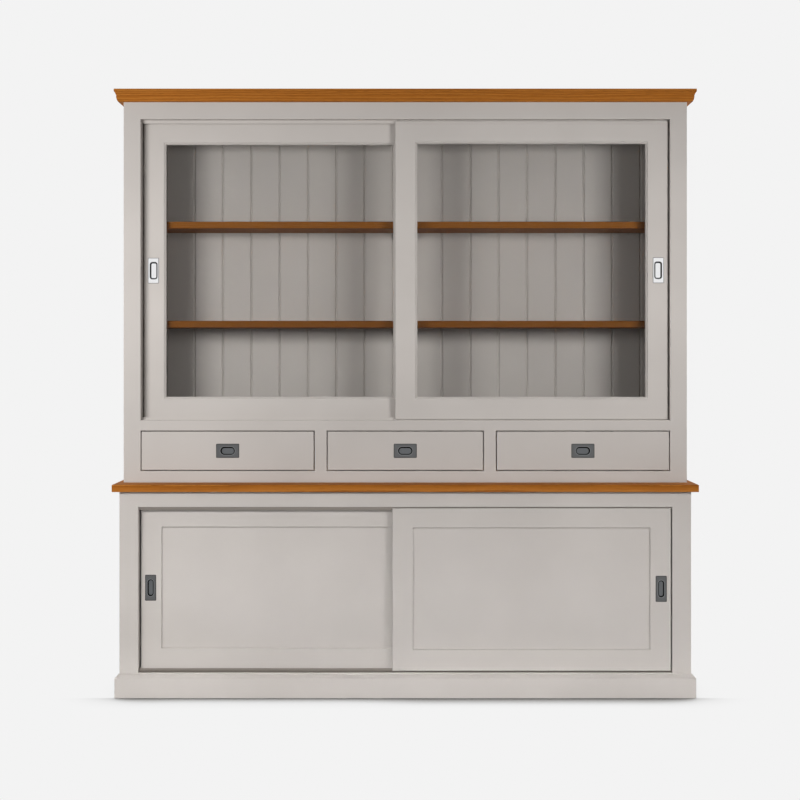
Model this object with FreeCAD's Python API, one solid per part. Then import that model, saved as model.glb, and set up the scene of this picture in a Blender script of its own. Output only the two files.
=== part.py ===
"""Dresser with a glazed hutch: painted carcass, oak top, shelves and cornice, sliding doors, drawers.

Millimetres. X runs to the right, Y to the back, Z up. The origin is on the floor, below the middle
of the worktop.
"""
import FreeCAD, Part
import os
from FreeCAD import Vector

os.makedirs("parts", exist_ok=True)

# Driving dimensions: carcass
cabinet_width = 1954.0
side_thickness = 22.0
panel_thickness = 18.0
arris = 1.2
cut_overrun = 5.0

# Driving dimensions: base cabinet
base_height = 703.0
base_post_width = 65.0
base_post_depth = 70.0
base_head_height = 53.0
base_sill_height = 45.0
sill_reveal = 4.5
base_back_thickness = 9.0
base_shelf_setback = 30.0
base_shelf_height_share = 0.48

# Driving dimensions: plinth
plinth_height = 80.0
plinth_thickness = 15.0
plinth_bevel_height = 13.0
plinth_bevel_depth = 12.0

# Driving dimensions: worktop
worktop_depth = 480.0
worktop_thickness = 25.0
worktop_overhang = 23.0
worktop_top_round = 2.5
worktop_lower_round = 2.0

# Driving dimensions: hutch
hutch_depth = 360.0
hutch_height = 1319.0
hutch_post_width = 59.0
hutch_post_depth = 84.0
hutch_head_height = 59.0
hutch_sill_height = 36.5
bottom_rail_height = 40.0
front_rail_thickness = 22.0

# Driving dimensions: tongue-and-groove back
board_thickness = 16.0
board_pitch = 103.5
centre_board_width = 75.0
centre_board_offset = -7.0
board_bevel = 5.0
tongue_thickness = 4.0
tongue_length = 6.0
tongue_fit = 0.2
tongue_place_share = 0.6
least_board_share = 0.3

# Driving dimensions: oak shelves and what carries them
shelf_thickness = 24.0
shelf_round = 3.0
shelf_setback = 90.0
shelf_end_gap = 1.0
lower_shelf_height_share = 0.309
upper_shelf_height_share = 0.643
peg_diameter = 8.0
peg_embed = 8.0
peg_reach = 12.0
peg_fit = 0.1
peg_inset = 40.0
bracket_width = 24.0
bracket_thickness = 4.0
bracket_height = 50.0
bracket_reach = 110.0

# Driving dimensions: cornice, with its section as shares of projection and height
cornice_height = 43.0
cornice_projection = 30.0
cornice_seat = 30.0
fillet_drop_share = 0.2
cove_foot_shares = (0.78, 0.48)
cove_middle_shares = (0.87, 0.33)
quirk_shares = (0.75, 0.5)
ovolo_middle_shares = (0.72, 0.78)
ovolo_foot_share = 0.58

# Driving dimensions: all sliding doors
door_thickness = 26.0
door_layer_gap = 6.0
door_top_gap = 4.0

# Driving dimensions: sliding tracks, with the glides that run on their ribs
track_plate = 1.2
track_margin = 8.0
rib_thickness = 3.0
rib_reach = 7.0
groove_width = 8.0
groove_depth = 12.0
glide_length = 45.0
glide_inset = 15.0
glide_clearance = 0.3

# Driving dimensions: glazed hutch doors
hutch_door_setback = 20.0
hutch_door_side_gap = 4.5
hutch_door_bottom_gap = 2.0
hutch_door_overlap = 70.0
hutch_door_stile = 77.0
hutch_door_rail = 78.0
sticking_width = 7.5
sticking_depth = 7.0
sticking_quirk = 1.0
glass_lip = 10.0
glass_lap = 8.0
glass_thickness = 4.0
glass_clearance = 1.0
quirk_drop = 8.0
quirk_width = 2.0
quirk_depth = 3.0

# Driving dimensions: panelled base doors
base_door_setback = 3.0
base_door_side_gap = 4.0
base_door_bottom_gap = 5.5
base_door_overlap = 88.0
base_door_stile = 71.0
base_door_top_rail = 67.0
base_door_bottom_rail = 73.0
door_panel_thickness = 9.0
door_panel_recess = 8.0
door_panel_groove = 10.0
door_panel_clearance = 1.0

# Driving dimensions: drawers
drawer_opening_height = 139.5
outer_drawer_opening = 603.5
muntin_width = 42.0
drawer_gap = 3.0
drawer_front_thickness = 20.0
drawer_side_thickness = 12.0
drawer_side_height = 110.0
drawer_box_length = 300.0
drawer_back_drop = 8.0
drawer_bottom_thickness = 6.0
drawer_bottom_rise = 10.0
drawer_groove_depth = 6.0
drawer_groove_fit = 0.2
runner_ledge = 10.0
runner_guide_height = 15.0
runner_clearance = 0.3

# Driving dimensions: flush pulls
pull_plate_thickness = 1.5
pull_corner = 3.0
pull_wall = 1.5
pull_floor = 1.2
pull_cup_depth = 11.0
pull_pocket_fit = 0.3
pull_edge_inset = 33.0
base_pull_rise = 2.5
drawer_pull = {"width": 80.0, "height": 49.0, "slot_width": 50.0, "slot_height": 27.0}
base_pull = {"width": 38.0, "height": 89.0, "slot_width": 20.0, "slot_height": 57.0}
hutch_pull = {"width": 38.0, "height": 89.0, "slot_width": 24.0, "slot_height": 58.0}
stadium_share = 0.49
soft_corner_share = 0.3

# Planes and levels that several pieces share
back_y = worktop_depth / 2
base_face_y = worktop_overhang - worktop_depth / 2
base_post_back_y = base_face_y + base_post_depth
base_back_y = back_y - base_back_thickness
hutch_face_y = back_y - hutch_depth
hutch_post_back_y = hutch_face_y + hutch_post_depth
front_rail_back_y = hutch_face_y + front_rail_thickness
boards_front_y = back_y - board_thickness
half_width = cabinet_width / 2
side_inner_x = half_width - side_thickness
base_opening_x = half_width - base_post_width
hutch_opening_x = half_width - hutch_post_width
base_sill_top = plinth_height + sill_reveal
base_head_bottom = base_height - base_head_height
hutch_bottom = base_height + worktop_thickness
hutch_top = hutch_bottom + hutch_height
drawer_opening_bottom = hutch_bottom + bottom_rail_height
drawer_opening_top = drawer_opening_bottom + drawer_opening_height
hutch_sill_top = drawer_opening_top + hutch_sill_height
hutch_head_bottom = hutch_top - hutch_head_height
deck_bottom = hutch_sill_top - panel_thickness
bottom_panel_top = hutch_bottom + panel_thickness
outer_muntin_x = hutch_opening_x - outer_drawer_opening
inner_muntin_x = outer_muntin_x - muntin_width


# Shapes that many pieces use

def block(low, high):
    """Square board between two opposite corners."""
    return Part.makeBox(high[0] - low[0], high[1] - low[1], high[2] - low[2], Vector(*low))


def mirrored(shape):
    """The same piece on the other side of the cabinet."""
    return shape.mirror(Vector(0, 0, 0), Vector(1, 0, 0))


def both_sides(shape):
    """A left piece and its mirror image on the right."""
    return [shape, mirrored(shape)]


def prism(points, travel):
    """Flat outline of straight lines, carried along a straight travel."""
    return Part.Face(Part.makePolygon(points + points[:1])).extrude(travel)


def level_with(first, second):
    """Whether two places along one axis are the same, to well under an arris."""
    return abs(first - second) < arris / 2


def edges_in_plane(shape, axis, place):
    """Edges whose ends both lie in one plane across the X, Y or Z axis."""
    return [edge for edge in shape.Edges
            if all(level_with(getattr(vertex, axis), place) for vertex in edge.Vertexes)]


def ease_front(shape, front_y):
    """Take the sharp arris off the edges that lie in the front plane."""
    return shape.makeChamfer(arris, edges_in_plane(shape, "Y", front_y))


def face_frame(low, high, openings):
    """Whole front frame with its openings, eased along its outer sides and round each opening.

    An opening is (left x, right x, low z, high z).
    """
    frame = block(low, high)
    for left_x, right_x, low_z, high_z in openings:
        frame = frame.cut(block((left_x, low[1] - cut_overrun, low_z),
                                (right_x, high[1] + cut_overrun, high_z)))
    ends = edges_in_plane(frame, "Z", low[2]) + edges_in_plane(frame, "Z", high[2])
    edges = [edge for edge in edges_in_plane(frame, "Y", low[1])
             if not any(edge.isSame(end) for end in ends)]
    return frame.makeChamfer(arris, edges)


def frame_piece(frame, left_x, right_x, low_z, high_z):
    """One post or rail of a front frame."""
    box = frame.BoundBox
    return frame.common(block((left_x, box.YMin, low_z), (right_x, box.YMax, high_z)))


def rounded_plate(width, height, radius, front_y, rear_y):
    """Upright plate centred on the Y axis, with its four corners rounded."""
    plate = block((-width / 2, front_y, -height / 2), (width / 2, rear_y, height / 2))
    corners = [edge for edge in plate.Edges if not level_with(edge.Vertexes[0].Y, edge.Vertexes[1].Y)]
    return plate.makeFillet(radius, corners)


def save(node, shapes):
    """Write one node, as a group of separate solids."""
    solids = [solid for shape in shapes for solid in shape.Solids]
    Part.makeCompound(solids).exportStep("parts/" + node + ".step")


# Mitred surrounds: one section run along the front and back along both sides

def mitred_surround(section, low_z, high_z, inner, outer, face_y):
    """Front, left and right runs of a section, cut at 45 degrees where they meet.

    section takes a place function, which turns (distance out from the face, height) into a point.
    """
    reach = half_width + outer
    front_face = section(lambda out, z: Vector(-reach, face_y - out, z))
    front_run = front_face.extrude(Vector(2 * reach, 0, 0))
    front_plan = [
        Vector(-half_width + inner, face_y + inner, low_z),
        Vector(half_width - inner, face_y + inner, low_z),
        Vector(reach, face_y - outer, low_z),
        Vector(-reach, face_y - outer, low_z),
    ]
    side_face = section(lambda out, z: Vector(-half_width - out, face_y - outer, z))
    side_run = side_face.extrude(Vector(0, back_y - face_y + outer, 0))
    side_plan = [
        Vector(-reach, face_y - outer, low_z),
        Vector(-half_width + inner, face_y + inner, low_z),
        Vector(-half_width + inner, back_y, low_z),
        Vector(-reach, back_y, low_z),
    ]
    rise = Vector(0, 0, high_z - low_z)
    front = front_run.common(prism(front_plan, rise))
    left = side_run.common(prism(side_plan, rise))
    return [front] + both_sides(left)


# Plinth: three mitred boards with a bevelled top edge

def plinth_section(place):
    """Upright board with its top outer edge bevelled."""
    outline = [
        place(0, 0),
        place(plinth_thickness, 0),
        place(plinth_thickness, plinth_height - plinth_bevel_height),
        place(plinth_thickness - plinth_bevel_depth, plinth_height),
        place(0, plinth_height),
    ]
    return Part.Face(Part.makePolygon(outline + outline[:1]))


save("plinth", mitred_surround(plinth_section, 0, plinth_height, 0, plinth_thickness, base_face_y))

# Shelf pegs: short pins in the side walls, with the holes that hold them

base_shelf_bottom = base_sill_top + base_shelf_height_share * (base_head_bottom - base_sill_top)
base_shelf_front_y = base_post_back_y + base_shelf_setback
hutch_opening_height = hutch_head_bottom - hutch_sill_top
hutch_shelf_front_y = hutch_face_y + shelf_setback
hutch_shelf_bottoms = {
    "lower": hutch_sill_top + lower_shelf_height_share * hutch_opening_height,
    "upper": hutch_sill_top + upper_shelf_height_share * hutch_opening_height,
}


def pegs(wall_x, inward, front_y, rear_y, shelf_bottom, radius):
    """A front and a rear pin through the face of one wall, just under a shelf."""
    start_x = wall_x - inward * peg_embed
    pins = []
    for y in (front_y + peg_inset, rear_y - peg_inset):
        start = Vector(start_x, y, shelf_bottom - peg_diameter / 2)
        pins.append(Part.makeCylinder(radius, peg_embed + peg_reach, start, Vector(inward, 0, 0)))
    return pins


def base_pegs(radius):
    """Pins of the left base bay: two in the side, two in the partition."""
    rows = [(-side_inner_x, 1), (-panel_thickness / 2, -1)]
    return [pin for wall_x, inward in rows
            for pin in pegs(wall_x, inward, base_shelf_front_y, base_back_y, base_shelf_bottom, radius)]


def hutch_pegs(radius):
    """Pins of the left hutch side, two under each shelf."""
    return [pin for level in hutch_shelf_bottoms.values()
            for pin in pegs(-side_inner_x, 1, hutch_shelf_front_y, boards_front_y, level, radius)]


peg_radius = peg_diameter / 2
hole_radius = peg_radius + peg_fit
left_pegs = base_pegs(peg_radius) + hutch_pegs(peg_radius)
save("shelf_pegs", left_pegs + [mirrored(pin) for pin in left_pegs])

# Base cabinet: posts, rails, sides, floor, partition, shelves and back

base_frame = face_frame((-half_width, base_face_y, 0), (half_width, base_post_back_y, base_height),
                        [(-base_opening_x, base_opening_x, base_sill_top, base_head_bottom)])
save("base_stiles", both_sides(frame_piece(base_frame, -half_width, -base_opening_x, 0, base_height)))
save("base_head_rail", [frame_piece(base_frame, -base_opening_x, base_opening_x,
                                    base_head_bottom, base_height)])
save("base_sill_rail", [frame_piece(base_frame, -base_opening_x, base_opening_x,
                                    base_sill_top - base_sill_height, base_sill_top)])

base_side = block((-half_width, base_post_back_y, 0), (-side_inner_x, back_y, base_height))
base_holes = Part.makeCompound(base_pegs(hole_radius))
save("base_sides", both_sides(base_side.cut(base_holes)))

base_floor_bottom = base_sill_top - panel_thickness
save("base_floor", [block((-side_inner_x, base_post_back_y, base_floor_bottom),
                          (side_inner_x, base_back_y, base_sill_top))])

partition = block((-panel_thickness / 2, base_post_back_y, base_sill_top),
                  (panel_thickness / 2, base_back_y, base_height))
save("base_partition", [partition.cut(base_holes).cut(mirrored(base_holes))])

save("base_back_panel", [block((-side_inner_x, base_back_y, base_floor_bottom),
                               (side_inner_x, back_y, base_height))])

base_shelf = block((-side_inner_x + shelf_end_gap, base_shelf_front_y, base_shelf_bottom),
                   (-panel_thickness / 2 - shelf_end_gap, base_back_y, base_shelf_bottom + panel_thickness))
save("base_shelves", both_sides(base_shelf))

# Worktop: one oak board, rounded along its front and both ends

def round_outer_edges(board, level, radius):
    """Round the front and end edges of a board at one level, and leave its back edge square."""
    edges = [edge for edge in edges_in_plane(board, "Z", level)
             if not all(level_with(vertex.Y, back_y) for vertex in edge.Vertexes)]
    return board.makeFillet(radius, edges)


worktop_x = half_width + worktop_overhang
worktop = block((-worktop_x, -worktop_depth / 2, base_height), (worktop_x, back_y, hutch_bottom))
worktop = round_outer_edges(worktop, hutch_bottom, worktop_top_round)
save("worktop", [round_outer_edges(worktop, base_height, worktop_lower_round)])

# Hutch: posts, rails, muntins, sides, panels and dividers

drawer_openings = {
    "left": (-hutch_opening_x, -outer_muntin_x),
    "middle": (-inner_muntin_x, inner_muntin_x),
    "right": (outer_muntin_x, hutch_opening_x),
}
hutch_openings = [(-hutch_opening_x, hutch_opening_x, hutch_sill_top, hutch_head_bottom)]
for left_x, right_x in drawer_openings.values():
    hutch_openings.append((left_x, right_x, drawer_opening_bottom, drawer_opening_top))
hutch_frame = face_frame((-half_width, hutch_face_y, hutch_bottom),
                         (half_width, hutch_post_back_y, hutch_top), hutch_openings)
behind_thin_rails = block((-hutch_opening_x, front_rail_back_y, hutch_bottom),
                          (hutch_opening_x, hutch_post_back_y, drawer_opening_top))
hutch_frame = hutch_frame.cut(behind_thin_rails)

hutch_posts = both_sides(frame_piece(hutch_frame, -half_width, -hutch_opening_x, hutch_bottom, hutch_top))
save("hutch_stiles", hutch_posts)
save("hutch_head_rail", [frame_piece(hutch_frame, -hutch_opening_x, hutch_opening_x,
                                     hutch_head_bottom, hutch_top)])
hutch_sill = frame_piece(hutch_frame, -hutch_opening_x, hutch_opening_x, drawer_opening_top, hutch_sill_top)
save("hutch_sill_rail", [hutch_sill])
save("hutch_bottom_rail", [frame_piece(hutch_frame, -hutch_opening_x, hutch_opening_x,
                                       hutch_bottom, drawer_opening_bottom)])
save("drawer_muntins", both_sides(frame_piece(hutch_frame, -outer_muntin_x, -inner_muntin_x,
                                              drawer_opening_bottom, drawer_opening_top)))

hutch_side = block((-half_width, hutch_post_back_y, hutch_bottom), (-side_inner_x, back_y, hutch_top))
hutch_holes = Part.makeCompound(hutch_pegs(hole_radius))
save("hutch_sides", both_sides(hutch_side.cut(hutch_holes)))

bottom_panel = block((-side_inner_x, front_rail_back_y, hutch_bottom),
                     (side_inner_x, boards_front_y, bottom_panel_top))
save("hutch_bottom_panel", [bottom_panel.cut(Part.makeCompound(hutch_posts))])

save("hutch_deck", [block((-side_inner_x, hutch_post_back_y, deck_bottom),
                          (side_inner_x, boards_front_y, hutch_sill_top))])

save("hutch_top_panel", [block((-side_inner_x, hutch_post_back_y, hutch_top - panel_thickness),
                               (side_inner_x, boards_front_y, hutch_top))])

muntin_middle_x = (outer_muntin_x + inner_muntin_x) / 2
divider_outer_x = muntin_middle_x + panel_thickness / 2
divider_inner_x = muntin_middle_x - panel_thickness / 2
divider = block((-divider_outer_x, front_rail_back_y, bottom_panel_top),
                (-divider_inner_x, boards_front_y, deck_bottom))
save("drawer_dividers", both_sides(divider.cut(hutch_sill)))


# Back of the hutch: vertical boards, tongued into each other, with a V at every joint

def back_board(left_x, right_x, has_groove, has_tongue):
    """One upright board; the outermost boards are square where they meet the sides."""
    middle_y = boards_front_y + tongue_place_share * board_thickness
    tongue_front_y = middle_y - tongue_thickness / 2
    tongue_rear_y = middle_y + tongue_thickness / 2
    socket_x = left_x + tongue_length + tongue_fit
    tip_x = right_x + tongue_length
    plan = [(left_x, back_y), (right_x, back_y)]
    if has_tongue:
        plan += [(right_x, tongue_rear_y), (tip_x, tongue_rear_y)]
        plan += [(tip_x, tongue_front_y), (right_x, tongue_front_y)]
        plan += [(right_x, boards_front_y + board_bevel), (right_x - board_bevel, boards_front_y)]
    else:
        plan += [(right_x, boards_front_y)]
    if has_groove:
        plan += [(left_x + board_bevel, boards_front_y), (left_x, boards_front_y + board_bevel)]
        plan += [(left_x, tongue_front_y - tongue_fit), (socket_x, tongue_front_y - tongue_fit)]
        plan += [(socket_x, tongue_rear_y + tongue_fit), (left_x, tongue_rear_y + tongue_fit)]
    else:
        plan += [(left_x, boards_front_y)]
    points = [Vector(x, y, hutch_bottom) for x, y in plan]
    return prism(points, Vector(0, 0, hutch_height))


board_joints = [centre_board_offset - centre_board_width / 2, centre_board_offset + centre_board_width / 2]
outermost_joint_x = side_inner_x - least_board_share * board_pitch
while board_joints[0] - board_pitch > -outermost_joint_x:
    board_joints.insert(0, board_joints[0] - board_pitch)
while board_joints[-1] + board_pitch < outermost_joint_x:
    board_joints.append(board_joints[-1] + board_pitch)
board_edges = [-side_inner_x] + board_joints + [side_inner_x]
save("hutch_back_boards", [back_board(left_x, right_x, left_x in board_joints, right_x in board_joints)
                           for left_x, right_x in zip(board_edges[:-1], board_edges[1:])])

# Oak shelves, each with a bracket under the middle of its back edge

for name, bottom in hutch_shelf_bottoms.items():
    shelf = block((-side_inner_x + shelf_end_gap, hutch_shelf_front_y, bottom),
                  (side_inner_x - shelf_end_gap, boards_front_y, bottom + shelf_thickness))
    front_edges = [edge for edge in edges_in_plane(shelf, "Y", hutch_shelf_front_y)
                   if level_with(edge.Vertexes[0].Z, edge.Vertexes[1].Z)]
    save("hutch_shelf_" + name, [shelf.makeFillet(shelf_round, front_edges)])


def shelf_bracket(shelf_bottom):
    """Angle with a gusset: one leg on the back boards, one under the shelf."""
    leg_y = boards_front_y - bracket_thickness
    toe_y = boards_front_y - bracket_reach
    side = [
        (boards_front_y, shelf_bottom),
        (toe_y, shelf_bottom),
        (toe_y, shelf_bottom - bracket_thickness),
        (leg_y, shelf_bottom - bracket_height + bracket_thickness),
        (leg_y, shelf_bottom - bracket_height),
        (boards_front_y, shelf_bottom - bracket_height),
    ]
    points = [Vector(-bracket_width / 2, y, z) for y, z in side]
    return prism(points, Vector(bracket_width, 0, 0))


save("shelf_centre_brackets", [shelf_bracket(bottom) for bottom in hutch_shelf_bottoms.values()])

# Cornice: oak moulding with a fillet, a cove, a quirk and an ovolo, mitred round the hutch top

cornice_top = hutch_top + cornice_height


def cornice_section(place):
    """Section from the flat seat out to the nose; shares count out from the face and down from the top."""
    def spot(out_share, drop_share):
        return place(out_share * cornice_projection, cornice_top - drop_share * cornice_height)

    seat_inner = place(-cornice_seat, hutch_top)
    top_inner = place(-cornice_seat, cornice_top)
    nose_top = place(cornice_projection, cornice_top)
    nose_foot = spot(1, fillet_drop_share)
    cove_foot = spot(*cove_foot_shares)
    quirk = spot(*quirk_shares)
    ovolo_foot = place(ovolo_foot_share * cornice_projection, hutch_top)
    edges = [
        Part.makeLine(seat_inner, top_inner),
        Part.makeLine(top_inner, nose_top),
        Part.makeLine(nose_top, nose_foot),
        Part.Arc(nose_foot, spot(*cove_middle_shares), cove_foot).toShape(),
        Part.makeLine(cove_foot, quirk),
        Part.Arc(quirk, spot(*ovolo_middle_shares), ovolo_foot).toShape(),
        Part.makeLine(ovolo_foot, seat_inner),
    ]
    return Part.Face(Part.Wire(edges))


save("cornice", mitred_surround(cornice_section, hutch_top, cornice_top, cornice_seat,
                                cornice_projection, hutch_face_y))


# Doorways: the opening of each pair of sliding doors, and how the doors sit in it

hutch_doorway = {
    "half_width": hutch_opening_x,
    "face_y": hutch_face_y,
    "sill_z": hutch_sill_top,
    "head_z": hutch_head_bottom,
    "setback": hutch_door_setback,
    "side_gap": hutch_door_side_gap,
    "bottom_gap": hutch_door_bottom_gap,
    "overlap": hutch_door_overlap,
}
base_doorway = {
    "half_width": base_opening_x,
    "face_y": base_face_y,
    "sill_z": base_sill_top,
    "head_z": base_head_bottom,
    "setback": base_door_setback,
    "side_gap": base_door_side_gap,
    "bottom_gap": base_door_bottom_gap,
    "overlap": base_door_overlap,
}


# Sliding tracks: a plate with two ribs, one for each door of a pair

def track(doorway, seat_z, up, gap):
    """Track on a sill (up is 1) or under a head (up is -1)."""
    end_x = doorway["half_width"]
    rib_ys = [doorway["face_y"] + doorway["setback"] + door_thickness / 2]
    rib_ys.append(rib_ys[0] + door_thickness + door_layer_gap)
    plate_z = seat_z + up * track_plate
    tip_z = seat_z + up * (gap + rib_reach)
    lower, upper = sorted((seat_z, plate_z))
    shape = block((-end_x, rib_ys[0] - track_margin, lower),
                  (end_x, rib_ys[1] + track_margin, upper))
    for rib_y in rib_ys:
        lower, upper = sorted((plate_z, tip_z))
        shape = shape.fuse(block((-end_x, rib_y - rib_thickness / 2, lower),
                                 (end_x, rib_y + rib_thickness / 2, upper)))
    return shape.removeSplitter()


for name, doorway in (("hutch", hutch_doorway), ("base", base_doorway)):
    save(name + "_tracks", [track(doorway, doorway["sill_z"], 1, doorway["bottom_gap"]),
                            track(doorway, doorway["head_z"], -1, door_top_gap)])


# Flush pulls: a plate with a finger cup behind it, centred on the origin with the plate's back at y = 0

def flush_pull(size, slot_share):
    """Plate and cup in one casting; slot_share rounds the ends of the slot."""
    plate = rounded_plate(size["width"], size["height"], pull_corner, -pull_plate_thickness, 0)
    cup_width = size["slot_width"] + 2 * pull_wall
    cup_height = size["slot_height"] + 2 * pull_wall
    cup = rounded_plate(cup_width, cup_height, slot_share * min(cup_width, cup_height), 0, pull_cup_depth)
    slot_radius = slot_share * min(size["slot_width"], size["slot_height"])
    slot = rounded_plate(size["slot_width"], size["slot_height"], slot_radius,
                         -pull_plate_thickness - cut_overrun, pull_cup_depth - pull_floor)
    return plate.fuse(cup).cut(slot).removeSplitter()


def pull_pocket(size, slot_share):
    """Hollow cut into the wood for the cup of a pull."""
    width = size["slot_width"] + 2 * (pull_wall + pull_pocket_fit)
    height = size["slot_height"] + 2 * (pull_wall + pull_pocket_fit)
    return rounded_plate(width, height, slot_share * min(width, height), -cut_overrun,
                         pull_cup_depth + pull_pocket_fit)


# Sliding doors, each made with its lower left front corner at the origin and then put in its place

def door_blank(width, height):
    """Solid slab of a door, grooved in its top and bottom edges for the ribs of the tracks."""
    slab = ease_front(block((0, 0, 0), (width, door_thickness, height)), 0)
    front_y = (door_thickness - groove_width) / 2
    lower = block((-cut_overrun, front_y, -cut_overrun),
                  (width + cut_overrun, front_y + groove_width, groove_depth))
    upper = lower.translated(Vector(0, 0, height - groove_depth + cut_overrun))
    return slab.cut(lower).cut(upper)


def door_glides(width, height):
    """Four nylon shoes in the grooves near the corners, slotted over the ribs."""
    front_y = (door_thickness - groove_width) / 2
    slot_y = (door_thickness - rib_thickness) / 2 - glide_clearance
    shoe = block((0, front_y, 0), (glide_length, front_y + groove_width, groove_depth))
    slot = block((-cut_overrun, slot_y, -cut_overrun),
                 (glide_length + cut_overrun, door_thickness - slot_y, rib_reach + glide_clearance))
    lower = shoe.cut(slot)
    upper = lower.mirror(Vector(0, 0, height / 2), Vector(0, 0, 1))
    left = Vector(glide_inset, 0, 0)
    right = Vector(width - glide_inset - glide_length, 0, 0)
    return [shoe_end.translated(place) for shoe_end in (lower, upper) for place in (left, right)]


def split_frame(frame, width, height, stile):
    """Part a whole door frame into its two stiles and the two rails between them."""
    left = block((-cut_overrun, -cut_overrun, -cut_overrun),
                 (stile, door_thickness + cut_overrun, height + cut_overrun))
    right = left.translated(Vector(width - stile + cut_overrun, 0, 0))
    stiles = [frame.common(left), frame.common(right)]
    rails = frame.cut(left).cut(right)
    return stiles, [rails]


def bevelled_opening(low, high, spread, start, depth):
    """Tapered cut: wider than the opening by spread where it starts, down to it at depth."""
    rings = []
    for y, extra in ((start, spread), (depth, 0)):
        rings.append([
            Vector(low[0] - extra, y, low[1] - extra),
            Vector(high[0] + extra, y, low[1] - extra),
            Vector(high[0] + extra, y, high[1] + extra),
            Vector(low[0] - extra, y, high[1] + extra),
        ])
    front, rear = rings
    sides = [[front[i - 1], front[i], rear[i], rear[i - 1]] for i in range(len(front))]
    faces = [Part.Face(Part.makePolygon(ring + ring[:1])) for ring in [front, rear] + sides]
    return Part.makeSolid(Part.makeShell(faces))


def glazing_beads(low, high, width, front_y, rear_y):
    """Four strips round the back of a pane, mitred at the corners."""
    outer = [(low[0], low[1]), (high[0], low[1]), (high[0], high[1]), (low[0], high[1])]
    inner = [(low[0] + width, low[1] + width), (high[0] - width, low[1] + width),
             (high[0] - width, high[1] - width), (low[0] + width, high[1] - width)]
    strips = []
    for i in range(len(outer)):
        after = (i + 1) % len(outer)
        plan = [outer[i], outer[after], inner[after], inner[i]]
        points = [Vector(x, front_y, z) for x, z in plan]
        strips.append(prism(points, Vector(0, rear_y - front_y, 0)))
    return strips


def glazed_door(width, height, pull_x):
    """Stiles, rails, pane, beads, pull and glides of one hutch door."""
    low = (hutch_door_stile, hutch_door_rail)
    high = (width - hutch_door_stile, height - hutch_door_rail)
    frame = door_blank(width, height)
    frame = frame.cut(block((low[0], -cut_overrun, low[1]),
                            (high[0], door_thickness + cut_overrun, high[1])))
    frame = frame.cut(block((low[0] - sticking_width, -cut_overrun, low[1] - sticking_width),
                            (high[0] + sticking_width, sticking_quirk, high[1] + sticking_width)))
    frame = frame.cut(bevelled_opening(low, high, sticking_width, sticking_quirk, sticking_depth))
    rebate_low = (low[0] - glass_lap, low[1] - glass_lap)
    rebate_high = (high[0] + glass_lap, high[1] + glass_lap)
    frame = frame.cut(block((rebate_low[0], glass_lip, rebate_low[1]),
                            (rebate_high[0], door_thickness + cut_overrun, rebate_high[1])))
    quirk_top = height - quirk_drop
    frame = frame.cut(block((-cut_overrun, -cut_overrun, quirk_top - quirk_width),
                            (width + cut_overrun, quirk_depth, quirk_top)))
    pull_place = Vector(pull_x, 0, height / 2)
    frame = frame.cut(pull_pocket(hutch_pull, soft_corner_share).translated(pull_place))
    stiles, rails = split_frame(frame, width, height, hutch_door_stile)
    pane_back = glass_lip + glass_thickness
    pane = block((rebate_low[0] + glass_clearance, glass_lip, rebate_low[1] + glass_clearance),
                 (rebate_high[0] - glass_clearance, pane_back, rebate_high[1] - glass_clearance))
    return {
        "stiles": stiles,
        "rails": rails,
        "glass": [pane],
        "glazing_beads": glazing_beads(rebate_low, rebate_high, glass_lap, pane_back, door_thickness),
        "pull": [flush_pull(hutch_pull, soft_corner_share).translated(pull_place)],
        "glides": door_glides(width, height),
    }


def panelled_door(width, height, pull_x):
    """Stiles, rails, panel, pull and glides of one base door."""
    low = (base_door_stile, base_door_bottom_rail)
    high = (width - base_door_stile, height - base_door_top_rail)
    panel_back = door_panel_recess + door_panel_thickness
    frame = door_blank(width, height)
    frame = frame.cut(block((low[0], -cut_overrun, low[1]),
                            (high[0], door_thickness + cut_overrun, high[1])))
    frame = frame.cut(bevelled_opening(low, high, arris, 0, arris))
    frame = frame.cut(block((low[0] - door_panel_groove, door_panel_recess, low[1] - door_panel_groove),
                            (high[0] + door_panel_groove, panel_back, high[1] + door_panel_groove)))
    pull_place = Vector(pull_x, 0, height / 2 + base_pull_rise)
    frame = frame.cut(pull_pocket(base_pull, stadium_share).translated(pull_place))
    stiles, rails = split_frame(frame, width, height, base_door_stile)
    tongue = door_panel_groove - door_panel_clearance
    panel = block((low[0] - tongue, door_panel_recess, low[1] - tongue),
                  (high[0] + tongue, panel_back, high[1] + tongue))
    return {
        "stiles": stiles,
        "rails": rails,
        "panel": [panel],
        "pull": [flush_pull(base_pull, stadium_share).translated(pull_place)],
        "glides": door_glides(width, height),
    }


def hang_pair(name, make, doorway):
    """Make both doors of a doorway; the right one runs in front, and their inner stiles overlap."""
    outer_x = doorway["half_width"] - doorway["side_gap"]
    width = outer_x + doorway["overlap"] / 2
    bottom_z = doorway["sill_z"] + doorway["bottom_gap"]
    height = doorway["head_z"] - door_top_gap - bottom_z
    front_y = doorway["face_y"] + doorway["setback"]
    rear_y = front_y + door_thickness + door_layer_gap
    places = {
        "left": (Vector(-outer_x, rear_y, bottom_z), pull_edge_inset),
        "right": (Vector(outer_x - width, front_y, bottom_z), width - pull_edge_inset),
    }
    for side, (place, pull_x) in places.items():
        for piece, solids in make(width, height, pull_x).items():
            save(name + "_" + side + "_door_" + piece, [solid.translated(place) for solid in solids])


hang_pair("hutch", glazed_door, hutch_doorway)
hang_pair("base", panelled_door, base_doorway)

# Drawers: inset front, two sides, a back and a bottom held in grooves

drawer_front_bottom = drawer_opening_bottom + drawer_gap
drawer_front_top = drawer_opening_top - drawer_gap
drawer_front_back_y = hutch_face_y + drawer_front_thickness
drawer_rear_y = drawer_front_back_y + drawer_box_length
drawer_middle_z = (drawer_opening_bottom + drawer_opening_top) / 2


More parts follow.
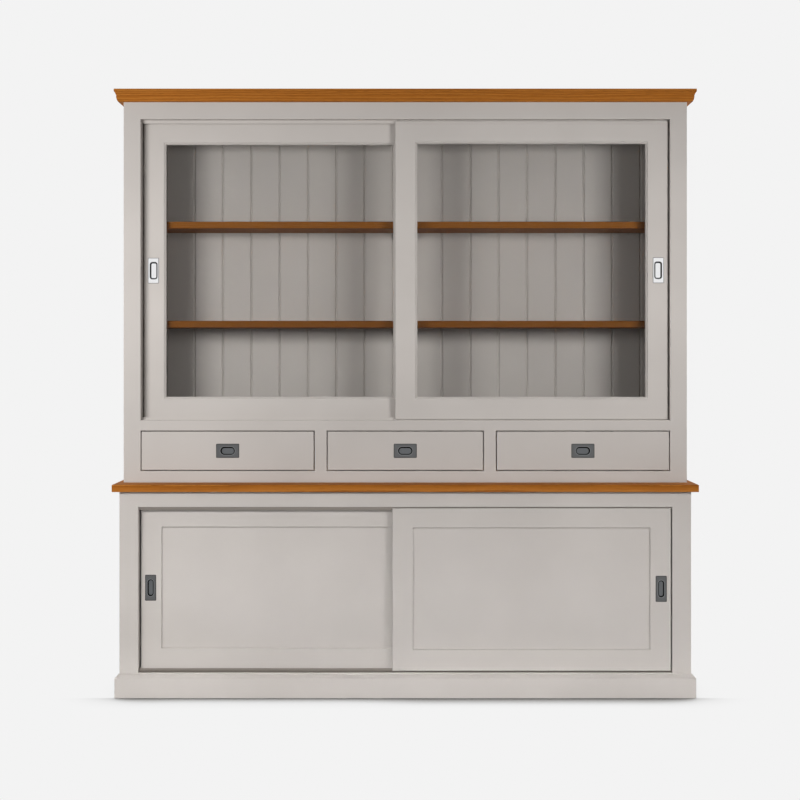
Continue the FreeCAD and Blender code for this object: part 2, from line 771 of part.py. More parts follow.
def make_drawer(node, opening_left, opening_right):
    """Save the front, box and pull of one drawer."""
    left_x = opening_left + drawer_gap
    right_x = opening_right - drawer_gap
    inner_left_x = left_x + drawer_side_thickness
    inner_right_x = right_x - drawer_side_thickness
    ply_bottom = drawer_front_bottom + drawer_bottom_rise
    ply_top = ply_bottom + drawer_bottom_thickness
    side_top = drawer_front_bottom + drawer_side_height
    groove = block((inner_left_x - drawer_groove_depth, drawer_front_back_y - drawer_groove_depth,
                    ply_bottom - drawer_groove_fit),
                   (inner_right_x + drawer_groove_depth, drawer_rear_y + cut_overrun,
                    ply_top + drawer_groove_fit))
    ply = block((inner_left_x - drawer_groove_depth + drawer_groove_fit,
                 drawer_front_back_y - drawer_groove_depth + drawer_groove_fit, ply_bottom),
                (inner_right_x + drawer_groove_depth - drawer_groove_fit, drawer_rear_y, ply_top))
    pull_place = Vector((left_x + right_x) / 2, hutch_face_y, drawer_middle_z)
    front = ease_front(block((left_x, hutch_face_y, drawer_front_bottom),
                             (right_x, drawer_front_back_y, drawer_front_top)), hutch_face_y)
    front = front.cut(groove).cut(pull_pocket(drawer_pull, stadium_share).translated(pull_place))
    left = block((left_x, drawer_front_back_y, drawer_front_bottom), (inner_left_x, drawer_rear_y, side_top))
    right = left.translated(Vector(inner_right_x - left_x, 0, 0))
    back = block((inner_left_x, drawer_rear_y - drawer_side_thickness, ply_top),
                 (inner_right_x, drawer_rear_y, side_top - drawer_back_drop))
    save(node + "_front", [front])
    save(node + "_box", [left.cut(groove), right.cut(groove), back, ply])
    save(node + "_pull", [flush_pull(drawer_pull, stadium_share).translated(pull_place)])


for side, (left_x, right_x) in drawer_openings.items():
    make_drawer("drawer_" + side, left_x, right_x)


# Drawer runners: a bearer under each drawer side, with a guide beside it

def runner(wall_x, side_x):
    """L-shaped runner from the wall that holds it to just inside one drawer side."""
    inward = 1 if side_x > wall_x else -1
    bearer_top = drawer_front_bottom - runner_clearance
    ledge_x = side_x + inward * (drawer_side_thickness + runner_ledge)
    guide_x = side_x - inward * runner_clearance
    lower_x, upper_x = sorted((wall_x, ledge_x))
    bearer = block((lower_x, front_rail_back_y, bottom_panel_top), (upper_x, boards_front_y, bearer_top))
    lower_x, upper_x = sorted((wall_x, guide_x))
    guide = block((lower_x, front_rail_back_y, bearer_top),
                  (upper_x, boards_front_y, bearer_top + runner_guide_height))
    return bearer.fuse(guide).removeSplitter().cut(Part.makeCompound(hutch_posts))


left_runners = [
    runner(-side_inner_x, drawer_gap - hutch_opening_x),
    runner(-divider_outer_x, -outer_muntin_x - drawer_gap),
    runner(-divider_inner_x, drawer_gap - inner_muntin_x),
]
save("drawer_runners", left_runners + [mirrored(shape) for shape in left_runners])
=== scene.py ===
"""Dresser with a glazed hutch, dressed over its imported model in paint, oak, glass and metal."""
import math
import bpy
import numpy as np
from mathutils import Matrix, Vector


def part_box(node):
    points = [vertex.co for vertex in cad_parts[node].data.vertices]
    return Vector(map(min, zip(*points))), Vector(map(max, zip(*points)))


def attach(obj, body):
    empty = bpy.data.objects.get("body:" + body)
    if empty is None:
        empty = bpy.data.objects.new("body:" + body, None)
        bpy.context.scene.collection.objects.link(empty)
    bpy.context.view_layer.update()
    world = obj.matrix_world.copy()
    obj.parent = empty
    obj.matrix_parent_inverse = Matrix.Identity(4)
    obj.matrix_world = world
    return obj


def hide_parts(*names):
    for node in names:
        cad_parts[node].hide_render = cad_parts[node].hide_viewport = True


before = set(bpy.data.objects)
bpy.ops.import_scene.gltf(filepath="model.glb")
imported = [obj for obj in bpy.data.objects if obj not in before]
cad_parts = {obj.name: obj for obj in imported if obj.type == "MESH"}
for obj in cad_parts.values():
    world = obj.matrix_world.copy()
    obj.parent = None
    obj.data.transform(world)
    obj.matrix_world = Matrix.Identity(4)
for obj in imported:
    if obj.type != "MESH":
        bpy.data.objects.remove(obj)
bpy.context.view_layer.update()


# Base cabinet and its plinth: boards of tulipwood and board panels, glued and screwed into a carcass.
# Everything outside is in warm grey satin paint, laid off with a brush along each board.

def linear(hex_colour):
    """sRGB hex to linear colour: c / 12.92 in deep shades, ((c + 0.055) / 1.055) ^ 2.4 above them."""
    channels = np.array([int(hex_colour[at:at + 2], 16) for at in (1, 3, 5)]) / 255
    shades = np.where(channels <= 0.04045, channels / 12.92, ((channels + 0.055) / 1.055) ** 2.4)
    return (*shades.tolist(), 1.0)


def set_inputs(tree, node, inputs):
    """Fill a node's inputs: a socket, or another node's first output, is linked, and a value is set."""
    for key, value in inputs.items():
        source = value.outputs[0] if isinstance(value, bpy.types.Node) else value
        if isinstance(source, bpy.types.NodeSocket):
            tree.links.new(source, node.inputs[key])
        else:
            node.inputs[key].default_value = source


def add_node(tree, kind, inputs, stops=(), **settings):
    """Add one node with its settings, its inputs and, on a colour ramp, its coloured stops."""
    node = tree.nodes.new("ShaderNode" + kind)
    for name, value in settings.items():
        setattr(node, name, value)
    set_inputs(tree, node, inputs)
    for place, colour in stops[1:-1]:
        node.color_ramp.elements.new(place)
    for element, (place, colour) in zip(node.color_ramp.elements if stops else (), stops):
        element.position = place
        element.color = linear(colour)
    return node


def new_finish(name):
    """A material with its node tree, its main shader and the Object coordinates its patterns read."""
    material = bpy.data.materials.new(name)
    material.use_nodes = True
    tree = material.node_tree
    place = add_node(tree, "TexCoord", {}).outputs["Object"]
    return material, tree, tree.nodes["Principled BSDF"], place


def lines_along(axis, width, run):
    """Scale of a pattern of lines: one over their width, and along their axis one over their run."""
    scale = [1 / width] * 3
    scale[axis] = 1 / run
    return scale


def dress(material, *names):
    """Give CAD nodes this finish in place of the plain one they were packed with."""
    for name in names:
        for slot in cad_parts[name].material_slots:
            slot.material = material


paint_clouding = 0.35
brush_line = 0.003
brush_run = 0.15
brush_height = 0.00006


def satin_paint(name, run_axis):
    """Satin wood paint: an even warm grey, faintly clouded, with brush lines along one axis.
    Bristle lines are under a millimetre apart, and are drawn at three so that they can show."""
    material, tree, shader, place = new_finish(name)
    clouds = add_node(tree, "TexNoise", {"Vector": place, "Scale": 1 / paint_clouding, "Detail": 3.0})
    tone = add_node(tree, "ValToRGB", {"Fac": clouds}, stops=((0.35, "#B9B3AE"), (0.65, "#BFB9B4")))
    stretch = lines_along(run_axis, brush_line, brush_run)
    strokes_at = add_node(tree, "Mapping", {"Vector": place, "Scale": stretch})
    strokes = add_node(tree, "TexNoise", {"Vector": strokes_at, "Scale": 1.0, "Detail": 2.0})
    gloss = add_node(tree, "MapRange", {"Value": strokes, "To Min": 0.40, "To Max": 0.52})
    relief = add_node(tree, "Bump", {"Height": strokes, "Strength": 0.5, "Distance": brush_height})
    set_inputs(tree, shader, {"Base Color": tone, "Roughness": gloss, "Normal": relief})
    return material


paint_along_x = satin_paint("satin paint, brushed across", 0)
paint_along_y = satin_paint("satin paint, brushed front to back", 1)
paint_along_z = satin_paint("satin paint, brushed upright", 2)
dress(paint_along_x, "plinth", "base_head_rail", "base_sill_rail", "base_floor", "base_shelves",
      "base_back_panel")
dress(paint_along_z, "base_stiles", "base_sides", "base_partition")


# Tracks, pegs and brackets: aluminium tracks with a rib for each door are screwed to the rails, anodised
# bronze in the base and painted over in the hutch; the base's darker bronze is partly painted shade in
# the base doors' gaps. Zinc-plated steel pins and angles carry the shelves.

metal_line = 0.0006
metal_run = 0.08


def drawn_metal(name, tones, roughness):
    """Metal drawn or brushed along X: two tones in fine lines that also vary its gloss."""
    material, tree, shader, place = new_finish(name)
    stretch = lines_along(0, metal_line, metal_run)
    lines_at = add_node(tree, "Mapping", {"Vector": place, "Scale": stretch})
    lines = add_node(tree, "TexNoise", {"Vector": lines_at, "Scale": 1.0, "Detail": 3.0})
    tone = add_node(tree, "ValToRGB", {"Fac": lines}, stops=((0.3, tones[0]), (0.7, tones[1])))
    gloss = add_node(tree, "MapRange", {"Value": lines, "To Min": roughness - 0.06,
                                        "To Max": roughness + 0.08})
    set_inputs(tree, shader, {"Base Color": tone, "Roughness": gloss, "Metallic": 1.0})
    return material


# The base tracks' bronze is darker than the hutch's painted tracks so that it also stands as painted
# shade in the gaps over and under the base doors.
bronze = drawn_metal("bronze anodised aluminium", ("#8C847D", "#9C948D"), roughness=0.42)
zinc = drawn_metal("zinc-plated steel", ("#9C9FA3", "#B9BBBE"), roughness=0.30)
dress(bronze, "base_tracks")
dress(paint_along_x, "hutch_tracks")
dress(zinc, "shelf_pegs", "shelf_centre_brackets")


# Base doors: framed and panelled, glued up and painted like the carcass, with the right door in front of
# the left. White nylon glides let into their edges run on the tracks, and each has a flush pull of
# plated zinc in its outer stile.

nylon_grit = 0.0005
nylon_relief = 0.00004


def moulded_nylon(name):
    """Glide nylon: translucent off-white, matt, with a fine moulded texture of half a millimetre."""
    material, tree, shader, place = new_finish(name)
    grit = add_node(tree, "TexNoise", {"Vector": place, "Scale": 1 / nylon_grit, "Detail": 2.0})
    tone = add_node(tree, "ValToRGB", {"Fac": grit}, stops=((0.3, "#DEDCD4"), (0.7, "#ECEAE3")))
    relief = add_node(tree, "Bump", {"Height": grit, "Strength": 0.4, "Distance": nylon_relief})
    set_inputs(tree, shader, {"Base Color": tone, "Normal": relief, "Roughness": 0.5,
                              "Subsurface Weight": 0.1})
    return material


nylon = moulded_nylon("moulded nylon")
for side in ("left", "right"):
    dress(paint_along_z, "base_%s_door_stiles" % side)
    dress(paint_along_x, "base_%s_door_rails" % side, "base_%s_door_panel" % side)
    dress(nylon, "base_%s_door_glides" % side)

arc_points = 10
plate_corner = 0.0030
plate_round = 0.0014
lip_round = 0.0010
plate_proud = 0.0015
cup_wall = 0.0012
cup_fillet = 0.0018
cup_draft = 0.0014
# Each ring's level for a pull's tone and gloss. The cup's wall at nought is painted shade and dark
# reflection, black on both metals, where the pewter also has oxide. The chrome's lip is painted grey in
# place of its highlight, and the pewter's paler lip is rubbed wear with a painted highlight.
floor_wear_and_shade, fillet_wear_and_shade, wall_wear_and_shade = 0.62, 0.25, 0.0
lip_wear_and_shade, rim_wear_and_shade, plate_wear_and_shade = 0.9, 0.55, 0.5
edge_wear_and_shade, back_wear_and_shade = 0.32, 0.1


def rounded_loop(half_width, half_height, radius):
    """Outline of a rounded rectangle: quarter circles about points one radius inside two edges."""
    corner = np.repeat(np.arange(4), arc_points)
    angle = corner * math.pi / 2 + np.tile(np.linspace(0, math.pi / 2, arc_points), 4)
    across = np.array([1, -1, -1, 1])[corner] * (half_width - radius) + radius * np.cos(angle)
    up = np.array([1, 1, -1, -1])[corner] * (half_height - radius) + radius * np.sin(angle)
    return np.column_stack((across, up))


def ring_mesh(name, rings, first_pole, last_pole):
    """Closed skin through a stack of equal rings: quads from each to the next, a fan at both ends."""
    count, around = rings.shape[:2]
    here = np.arange(count * around).reshape(count, around)
    there = np.roll(here, -1, axis=1)
    quads = np.stack((here[:-1], here[1:], there[1:], there[:-1]), axis=-1).reshape(-1, 4)
    first, last = count * around, count * around + 1
    opening_fan = np.stack((np.full(around, first), here[0], there[0]), axis=-1)
    closing_fan = np.stack((np.full(around, last), there[-1], here[-1]), axis=-1)
    points = np.vstack((rings.reshape(-1, 3), first_pole, last_pole))
    mesh = bpy.data.meshes.new(name)
    mesh.from_pydata(points.tolist(), [], quads.tolist() + opening_fan.tolist() + closing_fan.tolist())
    mesh.update()
    mesh.shade_smooth()
    return mesh


def flush_pull(node, body, material, slot_half, slot_corner, slot_aside, floor_shift):
    """Plate with a dished cup: rings from the middle of the cup's floor up its wall, over a rounded lip,
    across the plate, round its edge and back behind the cup. The slot lies slot_aside of the plate's
    middle, and the floor is moved by floor_shift (across, up), so that the wall is a longer slope on the
    other side. An attribute gives each ring a level for its tone and gloss: rubbed wear on the pewter,
    and painted shade and reflection on both metals, with the cup's wall painted black and the chrome's
    lip painted grey in place of its highlight."""
    low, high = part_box(node)
    middle = (low + high) / 2
    plate_half = (high.x - low.x) / 2, (high.z - low.z) / 2
    cup_depth = high.y - low.y - cup_wall

    def slot_ring(outset, depth, wear_and_shade):
        half = [size + outset for size in slot_half]
        loop = rounded_loop(*half, min(slot_corner + outset, min(half)))
        return loop + np.array((slot_aside, 0)), depth, wear_and_shade

    def plate_ring(inset, depth, wear_and_shade):
        return rounded_loop(*[size - inset for size in plate_half], plate_corner - inset), depth, wear_and_shade

    quarter = np.linspace(0, math.pi / 2, 5)
    foot = -cup_draft - cup_fillet
    stack = [slot_ring(foot - cup_fillet / 2, cup_depth, floor_wear_and_shade)]
    stack += [slot_ring(foot + cup_fillet * math.sin(a), cup_depth - cup_fillet * (1 - math.cos(a)),
                        fillet_wear_and_shade * math.cos(a) ** 2) for a in quarter]
    stack += [slot_ring(-cup_draft / 2, (cup_depth - cup_fillet + lip_round) / 2, wall_wear_and_shade)]
    stack += [slot_ring(lip_round * (1 - math.cos(a)), lip_round * (1 - math.sin(a)), math.sin(a))
              for a in quarter]
    stack += [slot_ring(lip_round * 1.4, 0, lip_wear_and_shade), slot_ring(lip_round * 1.9, 0, rim_wear_and_shade)]
    stack += [plate_ring(plate_round * 1.2, 0, plate_wear_and_shade)]
    stack += [plate_ring(plate_round * (1 - math.sin(a)), plate_round * (1 - math.cos(a)),
                         edge_wear_and_shade + (back_wear_and_shade - edge_wear_and_shade) * math.sin(a)) for a in quarter]
    stack += [plate_ring(0, plate_proud, back_wear_and_shade), slot_ring(cup_wall, plate_proud, back_wear_and_shade),
              slot_ring(cup_wall, high.y - low.y, back_wear_and_shade)]
    loops = np.array([loop for loop, depth, wear_and_shade in stack])
    depths = np.array([depth for loop, depth, wear_and_shade in stack])
    inside = np.arange(len(stack)) < len(quarter) + 2
    lean = np.where(inside, depths / cup_depth, 0)
    rings = np.empty((*loops.shape[:2], 3))
    rings[:, :, 0] = middle.x + loops[:, :, 0] + floor_shift[0] * lean[:, None]
    rings[:, :, 1] = low.y + depths[:, None]
    rings[:, :, 2] = middle.z + loops[:, :, 1] + floor_shift[1] * lean[:, None]
    poles = [(middle.x + slot_aside + floor_shift[0], low.y + cup_depth, middle.z + floor_shift[1]),
             (middle.x + slot_aside, high.y, middle.z)]
    mesh = ring_mesh(node + "_flush", rings, *poles)
    ring_wear_and_shade = np.repeat([wear_and_shade for loop, depth, wear_and_shade in stack], loops.shape[1])
    ring_wear_and_shade = np.append(ring_wear_and_shade, (floor_wear_and_shade, back_wear_and_shade))
    mesh.attributes.new("wear_and_shade", "FLOAT", "POINT").data.foreach_set("value", ring_wear_and_shade)
    mesh.materials.append(material)
    piece = bpy.data.objects.new(node + "_flush", mesh)
    bpy.context.scene.collection.objects.link(piece)
    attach(piece, body)
    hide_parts(node)


plating_speck = 0.004


def cast_metal(name, stops, roughness, mottle):
    """Cast and plated zinc: the plating's tone and gloss follow each ring's level, partly rubbed wear and
    oxide, partly painted shade and reflection, with a soft mottle some millimetres across."""
    material, tree, shader, place = new_finish(name)
    wear_and_shade = add_node(tree, "Attribute", {}, attribute_name="wear_and_shade")
    patches = add_node(tree, "TexNoise", {"Vector": place, "Scale": 1 / plating_speck, "Detail": 4.0})
    shift = add_node(tree, "MapRange", {"Value": patches, "To Min": -mottle, "To Max": mottle})
    level = add_node(tree, "Math", {0: wear_and_shade.outputs["Fac"], 1: shift}, operation="ADD")
    tone = add_node(tree, "ValToRGB", {"Fac": level}, stops=stops)
    gloss = add_node(tree, "MapRange", {"Value": level, "From Min": 0.15, "From Max": 0.5,
                                        "To Min": 0.75, "To Max": roughness})
    set_inputs(tree, shader, {"Base Color": tone, "Specular Tint": tone, "Roughness": gloss,
                              "Metallic": 1.0})
    return material


# Pewter tones by level: near black in the cup's wall, oxide in that hollow and painted shade there;
# palest at the lip, rubbed wear with a painted highlight.
pewter_stops = ((0.0, "#0B0B0B"), (0.25, "#2A2A2B"), (0.5, "#666666"), (0.65, "#6E7174"),
                (1.0, "#9A9C9D"))
pewter = cast_metal("antique pewter plating", pewter_stops, roughness=0.38, mottle=0.05)
for side, inward in (("left", 1), ("right", -1)):
    door = "base_%s_door" % side
    flush_pull(door + "_pull", door, pewter, slot_half=(0.0106, 0.0290),
               slot_corner=0.0106, slot_aside=0, floor_shift=(-0.0006 * inward, -0.0005))


# Worktop: oak boards glued edge to edge, planed and rounded over, screwed up through the base from below.
# It is oiled to a golden brown, with rings, fibres and pores running along its length.

stave_width = 0.12
heart_scatter = 3.0, 0.16, 0.10
heart_aside = 0.08
heart_drop = 0.06
ring_gap = 0.007
ring_wander = 0.018
bend_run = 0.625
bend_width = 0.1111
fibre_width = 0.0016
fibre_run = 0.11
fibre_share = 0.55
pore_width = 0.0011
pore_run = 0.030
pore_depth = 0.00012
oak_stops = (0.18, "#BA7936"), (0.45, "#A86727"), (0.65, "#9B5B20"), (0.90, "#754315")


def oiled_oak(name, heart_height, board_tones_and_shade, mitre=None):
    """Oak as a solid: growth rings about a heart below each board, bent by slow noise, with fibres and
    pores drawn out along the grain. Staves across Y each get their own heart, and a tone between the two
    given; on the shelves both are set low, as painted shade inside the hutch. With a mitre (half width,
    front), the grain turns from X to Y beyond the line on which both overhang alike. Real fibres and
    pores are a few tenths of a millimetre, and are drawn wider so that they can show."""
    material, tree, shader, place = new_finish(name)
    if mitre:
        half_width, front = mitre
        along, across, up = add_node(tree, "SeparateXYZ", {"Vector": place}).outputs
        sideways = add_node(tree, "Math", {0: along}, operation="ABSOLUTE")
        past_side = add_node(tree, "Math", {0: sideways, 1: half_width}, operation="SUBTRACT")
        past_front = add_node(tree, "Math", {0: front, 1: across}, operation="SUBTRACT")
        turned = add_node(tree, "Math", {0: past_side, 1: past_front}, operation="GREATER_THAN")
        swapped = add_node(tree, "CombineXYZ", {"X": across, "Y": along, "Z": up})
        chosen = add_node(tree, "Mix", {"Factor": turned, 4: place, 5: swapped}, data_type="VECTOR")
        place = chosen.outputs[1]
    axes = add_node(tree, "SeparateXYZ", {"Vector": place})
    stave = add_node(tree, "Math", {0: axes.outputs["Y"], 1: stave_width}, operation="DIVIDE")
    stave = add_node(tree, "Math", {0: stave}, operation="FLOOR")
    chance = add_node(tree, "TexWhiteNoise", {"W": stave}, noise_dimensions="1D")
    heart = add_node(tree, "VectorMath", {0: chance.outputs["Color"], 1: heart_scatter},
                     operation="MULTIPLY")
    shifted = add_node(tree, "VectorMath", {0: place, 1: heart}, operation="ADD")
    lowered = add_node(tree, "Mapping", {"Vector": shifted,
                                         "Location": (0.0, -heart_aside, -heart_height)})
    bends_at = add_node(tree, "Mapping", {"Vector": shifted,
                                          "Scale": lines_along(0, bend_width, bend_run)})
    bends = add_node(tree, "TexNoise", {"Vector": bends_at, "Scale": 1.0, "Detail": 2.0})
    bend = add_node(tree, "VectorMath", {0: bends.outputs["Color"], 1: (0.0, ring_wander, ring_wander)},
                    operation="MULTIPLY")
    bent = add_node(tree, "VectorMath", {0: lowered, 1: bend}, operation="ADD")
    rings = add_node(tree, "TexWave", {"Vector": bent, "Scale": math.pi / 10 / ring_gap,
                                       "Distortion": 0.6, "Detail": 2.0, "Detail Scale": 1.5},
                     wave_type="RINGS", rings_direction="X", wave_profile="SAW")
    fibres_at = add_node(tree, "Mapping", {"Vector": shifted,
                                           "Scale": lines_along(0, fibre_width, fibre_run)})
    fibres = add_node(tree, "TexNoise", {"Vector": fibres_at, "Scale": 1.0, "Detail": 4.0})
    pores_at = add_node(tree, "Mapping", {"Vector": shifted,
                                          "Scale": lines_along(0, pore_width, pore_run)})
    pores = add_node(tree, "TexNoise", {"Vector": pores_at, "Scale": 1.0, "Detail": 1.0})
    grain = add_node(tree, "Mix", {"Factor": fibre_share, 2: rings.outputs["Fac"], 3: fibres},
                     data_type="FLOAT")
    tone = add_node(tree, "ValToRGB", {"Fac": grain}, stops=oak_stops)
    dots = add_node(tree, "MapRange", {"Value": pores, "From Min": 0.60, "From Max": 0.70,
                                       "To Min": 1.0, "To Max": 0.72})
    board = add_node(tree, "MapRange", {"Value": chance, "To Min": board_tones_and_shade[0],
                                        "To Max": board_tones_and_shade[1]})
    shade = add_node(tree, "Math", {0: dots, 1: board}, operation="MULTIPLY")
    colour = add_node(tree, "HueSaturation", {"Color": tone, "Value": shade})
    gloss = add_node(tree, "MapRange", {"Value": fibres, "To Min": 0.60, "To Max": 0.76})
    relief = add_node(tree, "Bump", {"Height": dots, "Strength": 0.6, "Distance": pore_depth})
    set_inputs(tree, shader, {"Base Color": colour, "Specular IOR Level": 0.12, "Roughness": gloss,
                              "Normal": relief})
    return material


worktop_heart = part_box("worktop")[0].z - heart_drop
dress(oiled_oak("oiled oak, worktop", worktop_heart, board_tones_and_shade=(0.95, 1.06)), "worktop")


# Hutch carcass: corner posts, rails, sides and panels, painted like the base and standing on the worktop.
# Its back is of upright boards tongued into each other, with a V worked along every joint.

dress(paint_along_z, "hutch_stiles", "hutch_sides", "hutch_back_boards", "drawer_muntins")
dress(paint_along_x, "hutch_head_rail", "hutch_sill_rail", "hutch_bottom_rail", "hutch_bottom_panel",
      "hutch_deck", "hutch_top_panel")
dress(paint_along_y, "drawer_dividers")


# Shelves: two oak boards across the whole hutch, oiled like the worktop and rounded at the front.
# They lie loose on the steel pins in the sides and on a bracket at the middle of the back.

shelf_heart_drop = 0.05
# The shelves' tones are painted shade: their oak is darker than the worktop's for the shade inside the
# hutch, and the lower shelf darker than the upper.
for level, board_tones_and_shade in (("lower", (0.55, 0.61)), ("upper", (0.70, 0.76))):
    shelf = "hutch_shelf_" + level
    shelf_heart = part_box(shelf)[0].z - shelf_heart_drop
    dress(oiled_oak("oiled oak, %s shelf" % level, shelf_heart, board_tones_and_shade), shelf)


# Drawers: painted fronts planted on open boxes of pale beech, which run on beech strips fixed inside the
# carcass. Each front has a flush pull at its middle, of the same plated metal as the base doors.

beech_fleck = 0.0020
beech_run = 0.014
beech_stops = (0.30, "#D8B48A"), (0.58, "#CFA779"), (0.72, "#B88A5C")


def lacquered_beech(name):
    """Beech under clear lacquer: pale pinkish brown, with short darker flecks along Y."""
    material, tree, shader, place = new_finish(name)
    flecks_at = add_node(tree, "Mapping", {"Vector": place,
                                           "Scale": lines_along(1, beech_fleck, beech_run)})
    flecks = add_node(tree, "TexNoise", {"Vector": flecks_at, "Scale": 1.0, "Detail": 3.0})
    tone = add_node(tree, "ValToRGB", {"Fac": flecks}, stops=beech_stops)
    gloss = add_node(tree, "MapRange", {"Value": flecks, "To Min": 0.35, "To Max": 0.5})
    set_inputs(tree, shader, {"Base Color": tone, "Roughness": gloss})
    return material


beech = lacquered_beech("lacquered beech")
dress(beech, "drawer_runners")
for place in ("left", "middle", "right"):
    drawer = "drawer_" + place
    dress(paint_along_x, drawer + "_front")
    dress(beech, drawer + "_box")
    flush_pull(drawer + "_pull", drawer, pewter, slot_half=(0.0250, 0.0138),
               slot_corner=0.0138, slot_aside=0, floor_shift=(0, -0.0010))


# Hutch doors: painted frames with a moulded inner edge, glazed from behind with clear float glass held by
# beads. They slide like the base doors, and their pulls are bright chrome.

glass_wave = 0.25


def float_glass(name):
    """Clear float glass: smooth, with a trace of green and a faint roll wave. Lamps shine through it."""
    material, tree, shader, place = new_finish(name)
    wave = add_node(tree, "TexNoise", {"Vector": place, "Scale": 1 / glass_wave, "Detail": 1.0})
    tint = add_node(tree, "ValToRGB", {"Fac": wave}, stops=((0.3, "#EFF0EF"), (0.7, "#F1F2F1")))
    set_inputs(tree, shader, {"Base Color": tint, "Roughness": 0.0, "IOR": 1.15,
                              "Transmission Weight": 1.0})
    path = add_node(tree, "LightPath", {}).outputs
    lit_through = add_node(tree, "Math", {0: path["Is Shadow Ray"], 1: path["Is Diffuse Ray"]},
                           operation="MAXIMUM")
    clear = add_node(tree, "BsdfTransparent", {"Color": linear("#EEEEEE")})
    pane = add_node(tree, "MixShader", {0: lit_through, 1: shader, 2: clear})
    set_inputs(tree, tree.nodes["Material Output"], {"Surface": pane})
    return material


glass = float_glass("clear float glass")
# Chrome tones by level: the cup's wall painted near black and the lip painted grey, painted dark
# reflection in place of what the plating would mirror; the plate itself is plain mirror white.
chrome_stops = ((0.0, "#0E0F10"), (0.25, "#4A4B4D"), (0.45, "#F4F4F5"), (0.62, "#F6F6F7"),
                (0.8, "#5E5F61"), (1.0, "#4A4B4D"))
chrome = cast_metal("bright chrome plating", chrome_stops, roughness=0.08, mottle=0.01)
for side, inward in (("left", 1), ("right", -1)):
    door = "hutch_%s_door" % side
    dress(paint_along_z, door + "_stiles", door + "_glazing_beads")
    dress(paint_along_x, door + "_rails")
    dress(glass, door + "_glass")
    dress(nylon, door + "_glides")
    flush_pull(door + "_pull", door, chrome, slot_half=(0.0120, 0.0290),
               slot_corner=0.0080, slot_aside=0.0008 * inward, floor_shift=(-0.0006 * inward, 0))


# Cornice: three lengths of oak moulding with a fillet, a cove and an ovolo, oiled like the worktop.
# They are mitred at the front corners and glued on round the hutch top, so the grain turns with them.

cornice_heart_drop = 0.07
post_low, post_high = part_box("hutch_stiles")
cornice_oak = oiled_oak("oiled oak, cornice", post_high.z - cornice_heart_drop, board_tones_and_shade=(0.99, 1.10),
                        mitre=(post_high.x, post_low.y))
dress(cornice_oak, "cornice")


# Studio: a pale floor without an edge, and soft lamps kept out of reflections: two before the hutch, two
# low ones before the base, and others beside, behind and above. The camera is level, and its plate is
# moved off centre.

backdrop_colour = "#F3F3F3"
floor_half = 30.0
shadow_reach = 0.20
shadow_front = -0.24
shadow_turn = -0.22
shadow_behind = 0.12
shadow_stops = (0.56, "#45423F"), (0.69, "#A3A19F"), (0.87, "#E5E5E5"), (0.97, backdrop_colour)


def seen_rays(tree):
    """One for the rays that see a backdrop: the camera's, and those off metal or through glass."""
    path = add_node(tree, "LightPath", {}).outputs
    seen = add_node(tree, "Math", {0: path["Is Camera Ray"], 1: path["Is Glossy Ray"]},
                    operation="MAXIMUM")
    return add_node(tree, "Math", {0: seen, 1: path["Is Transmission Ray"]}, operation="MAXIMUM")


def pale_floor(name):
    """Floor sheet: seen directly or in glass and metal it is the backdrop's colour, darker where the part
    is near, and mostly before its front. To all other rays it is plain paper."""
    material, tree, shader, place = new_finish(name)
    set_inputs(tree, shader, {"Base Color": linear("#AAAAAA"), "Roughness": 0.9})
    nearness = add_node(tree, "AmbientOcclusion", {"Distance": shadow_reach}, samples=16)
    axes = add_node(tree, "SeparateXYZ", {"Vector": place})
    ahead = add_node(tree, "MapRange", {"Value": axes.outputs["Y"], "From Min": shadow_front,
                                        "From Max": shadow_turn, "To Min": 1.0, "To Max": shadow_behind})
    hidden = add_node(tree, "Math", {0: 1.0, 1: nearness.outputs["AO"]}, operation="SUBTRACT")
    depth = add_node(tree, "Math", {0: hidden, 1: ahead}, operation="MULTIPLY")
    light = add_node(tree, "Math", {0: 1.0, 1: depth}, operation="SUBTRACT")
    shadow = add_node(tree, "ValToRGB", {"Fac": light}, stops=shadow_stops)
    sheet = add_node(tree, "Emission", {"Color": shadow, "Strength": 1.0})
    surface = add_node(tree, "MixShader", {0: seen_rays(tree), 1: shader, 2: sheet})
    set_inputs(tree, tree.nodes["Material Output"], {"Surface": surface})
    return material


floor_mesh = bpy.data.meshes.new("floor")
floor_corners = np.array([(-1, -1, 0), (1, -1, 0), (1, 1, 0), (-1, 1, 0)]) * floor_half
floor_mesh.from_pydata(floor_corners.tolist(), [], [(0, 1, 2, 3)])
floor_mesh.materials.append(pale_floor("white paper sweep"))
floor = bpy.data.objects.new("floor", floor_mesh)
bpy.context.scene.collection.objects.link(floor)

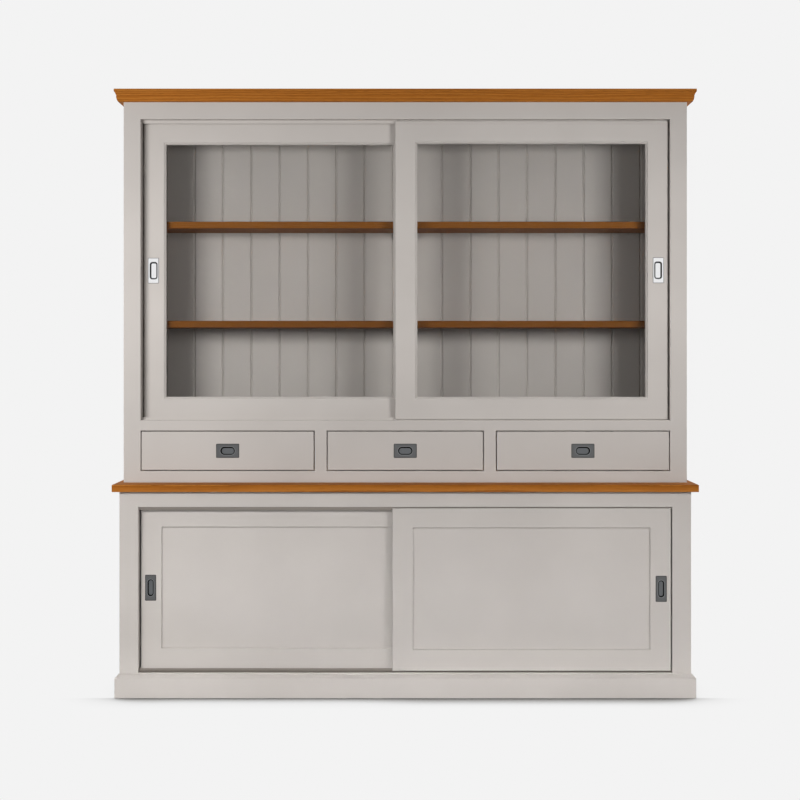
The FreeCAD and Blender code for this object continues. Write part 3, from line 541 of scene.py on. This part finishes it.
world = bpy.data.worlds.new("studio")
world.use_nodes = True
sky = world.node_tree
room = add_node(sky, "Background", {"Color": linear("#FFFFFF"), "Strength": 0.05})
sweep = add_node(sky, "Background", {"Color": linear(backdrop_colour), "Strength": 1.0})
sky_mix = add_node(sky, "MixShader", {0: seen_rays(sky), 1: room, 2: sweep})
set_inputs(sky, sky.nodes["World Output"], {"Surface": sky_mix})
bpy.context.scene.world = world

# Each lamp's name, place, the point it faces, its width and height, its watts and its spread in degrees
lamps = (("front lamp left", (-1.8, -2.75, 1.63), (-1.2, -0.1, 1.36), (1.0, 0.6), 17.2, 80),
         ("side lamp left", (-3.6, 1.2, 1.6), (0, 0.2, 1.0), (1.5, 2.0), 70, 180),
         ("front lamp right", (1.75, -2.75, 1.63), (0.8, -0.1, 1.36), (1.0, 0.6), 12.0, 74),
         ("side lamp right", (3.6, 1.2, 1.6), (0, 0.2, 1.0), (1.5, 2.0), 70, 180),
         ("base lamp", (0.52, -2.6, 0.5), (0.52, -0.22, 0.26), (3.8, 0.3), 3.15, 28),
         ("plinth lamp", (0.52, -2.6, 0.55), (0.52, -0.25, 0.02), (3.8, 0.1), 0.97, 10),
         ("rear lamp", (0, 4.5, 1.6), (0, 0, 1.0), (2.5, 2.0), 90, 180),
         ("top lamp", (0, 1.3, 3.6), (0, 0.1, 2.05), (2.0, 0.5), 9, 60))
for name, place, aim, size, watts, spread in lamps:
    lamp = bpy.data.lights.new(name, "AREA")
    lamp.shape = "RECTANGLE"
    lamp.size, lamp.size_y = size
    lamp.energy = watts
    lamp.spread = math.radians(spread)
    stand = bpy.data.objects.new(name, lamp)
    bpy.context.scene.collection.objects.link(stand)
    stand.location = place
    stand.rotation_euler = (Vector(aim) - Vector(place)).to_track_quat("-Z", "Y").to_euler()
    stand.visible_camera = False
    stand.visible_glossy = False

camera_lens = bpy.data.cameras.new("camera")
camera_lens.lens = 84.8
camera_lens.sensor_width = 36.0
camera_lens.shift_x = -0.0066
camera_lens.shift_y = -0.0544
camera = bpy.data.objects.new("camera", camera_lens)
camera.location = (0.0, -6.657, 1.165)
camera.rotation_euler = (math.pi / 2, 0, 0)
bpy.context.scene.collection.objects.link(camera)
bpy.context.scene.camera = camera
bpy.context.scene.view_settings.view_transform = "Standard"
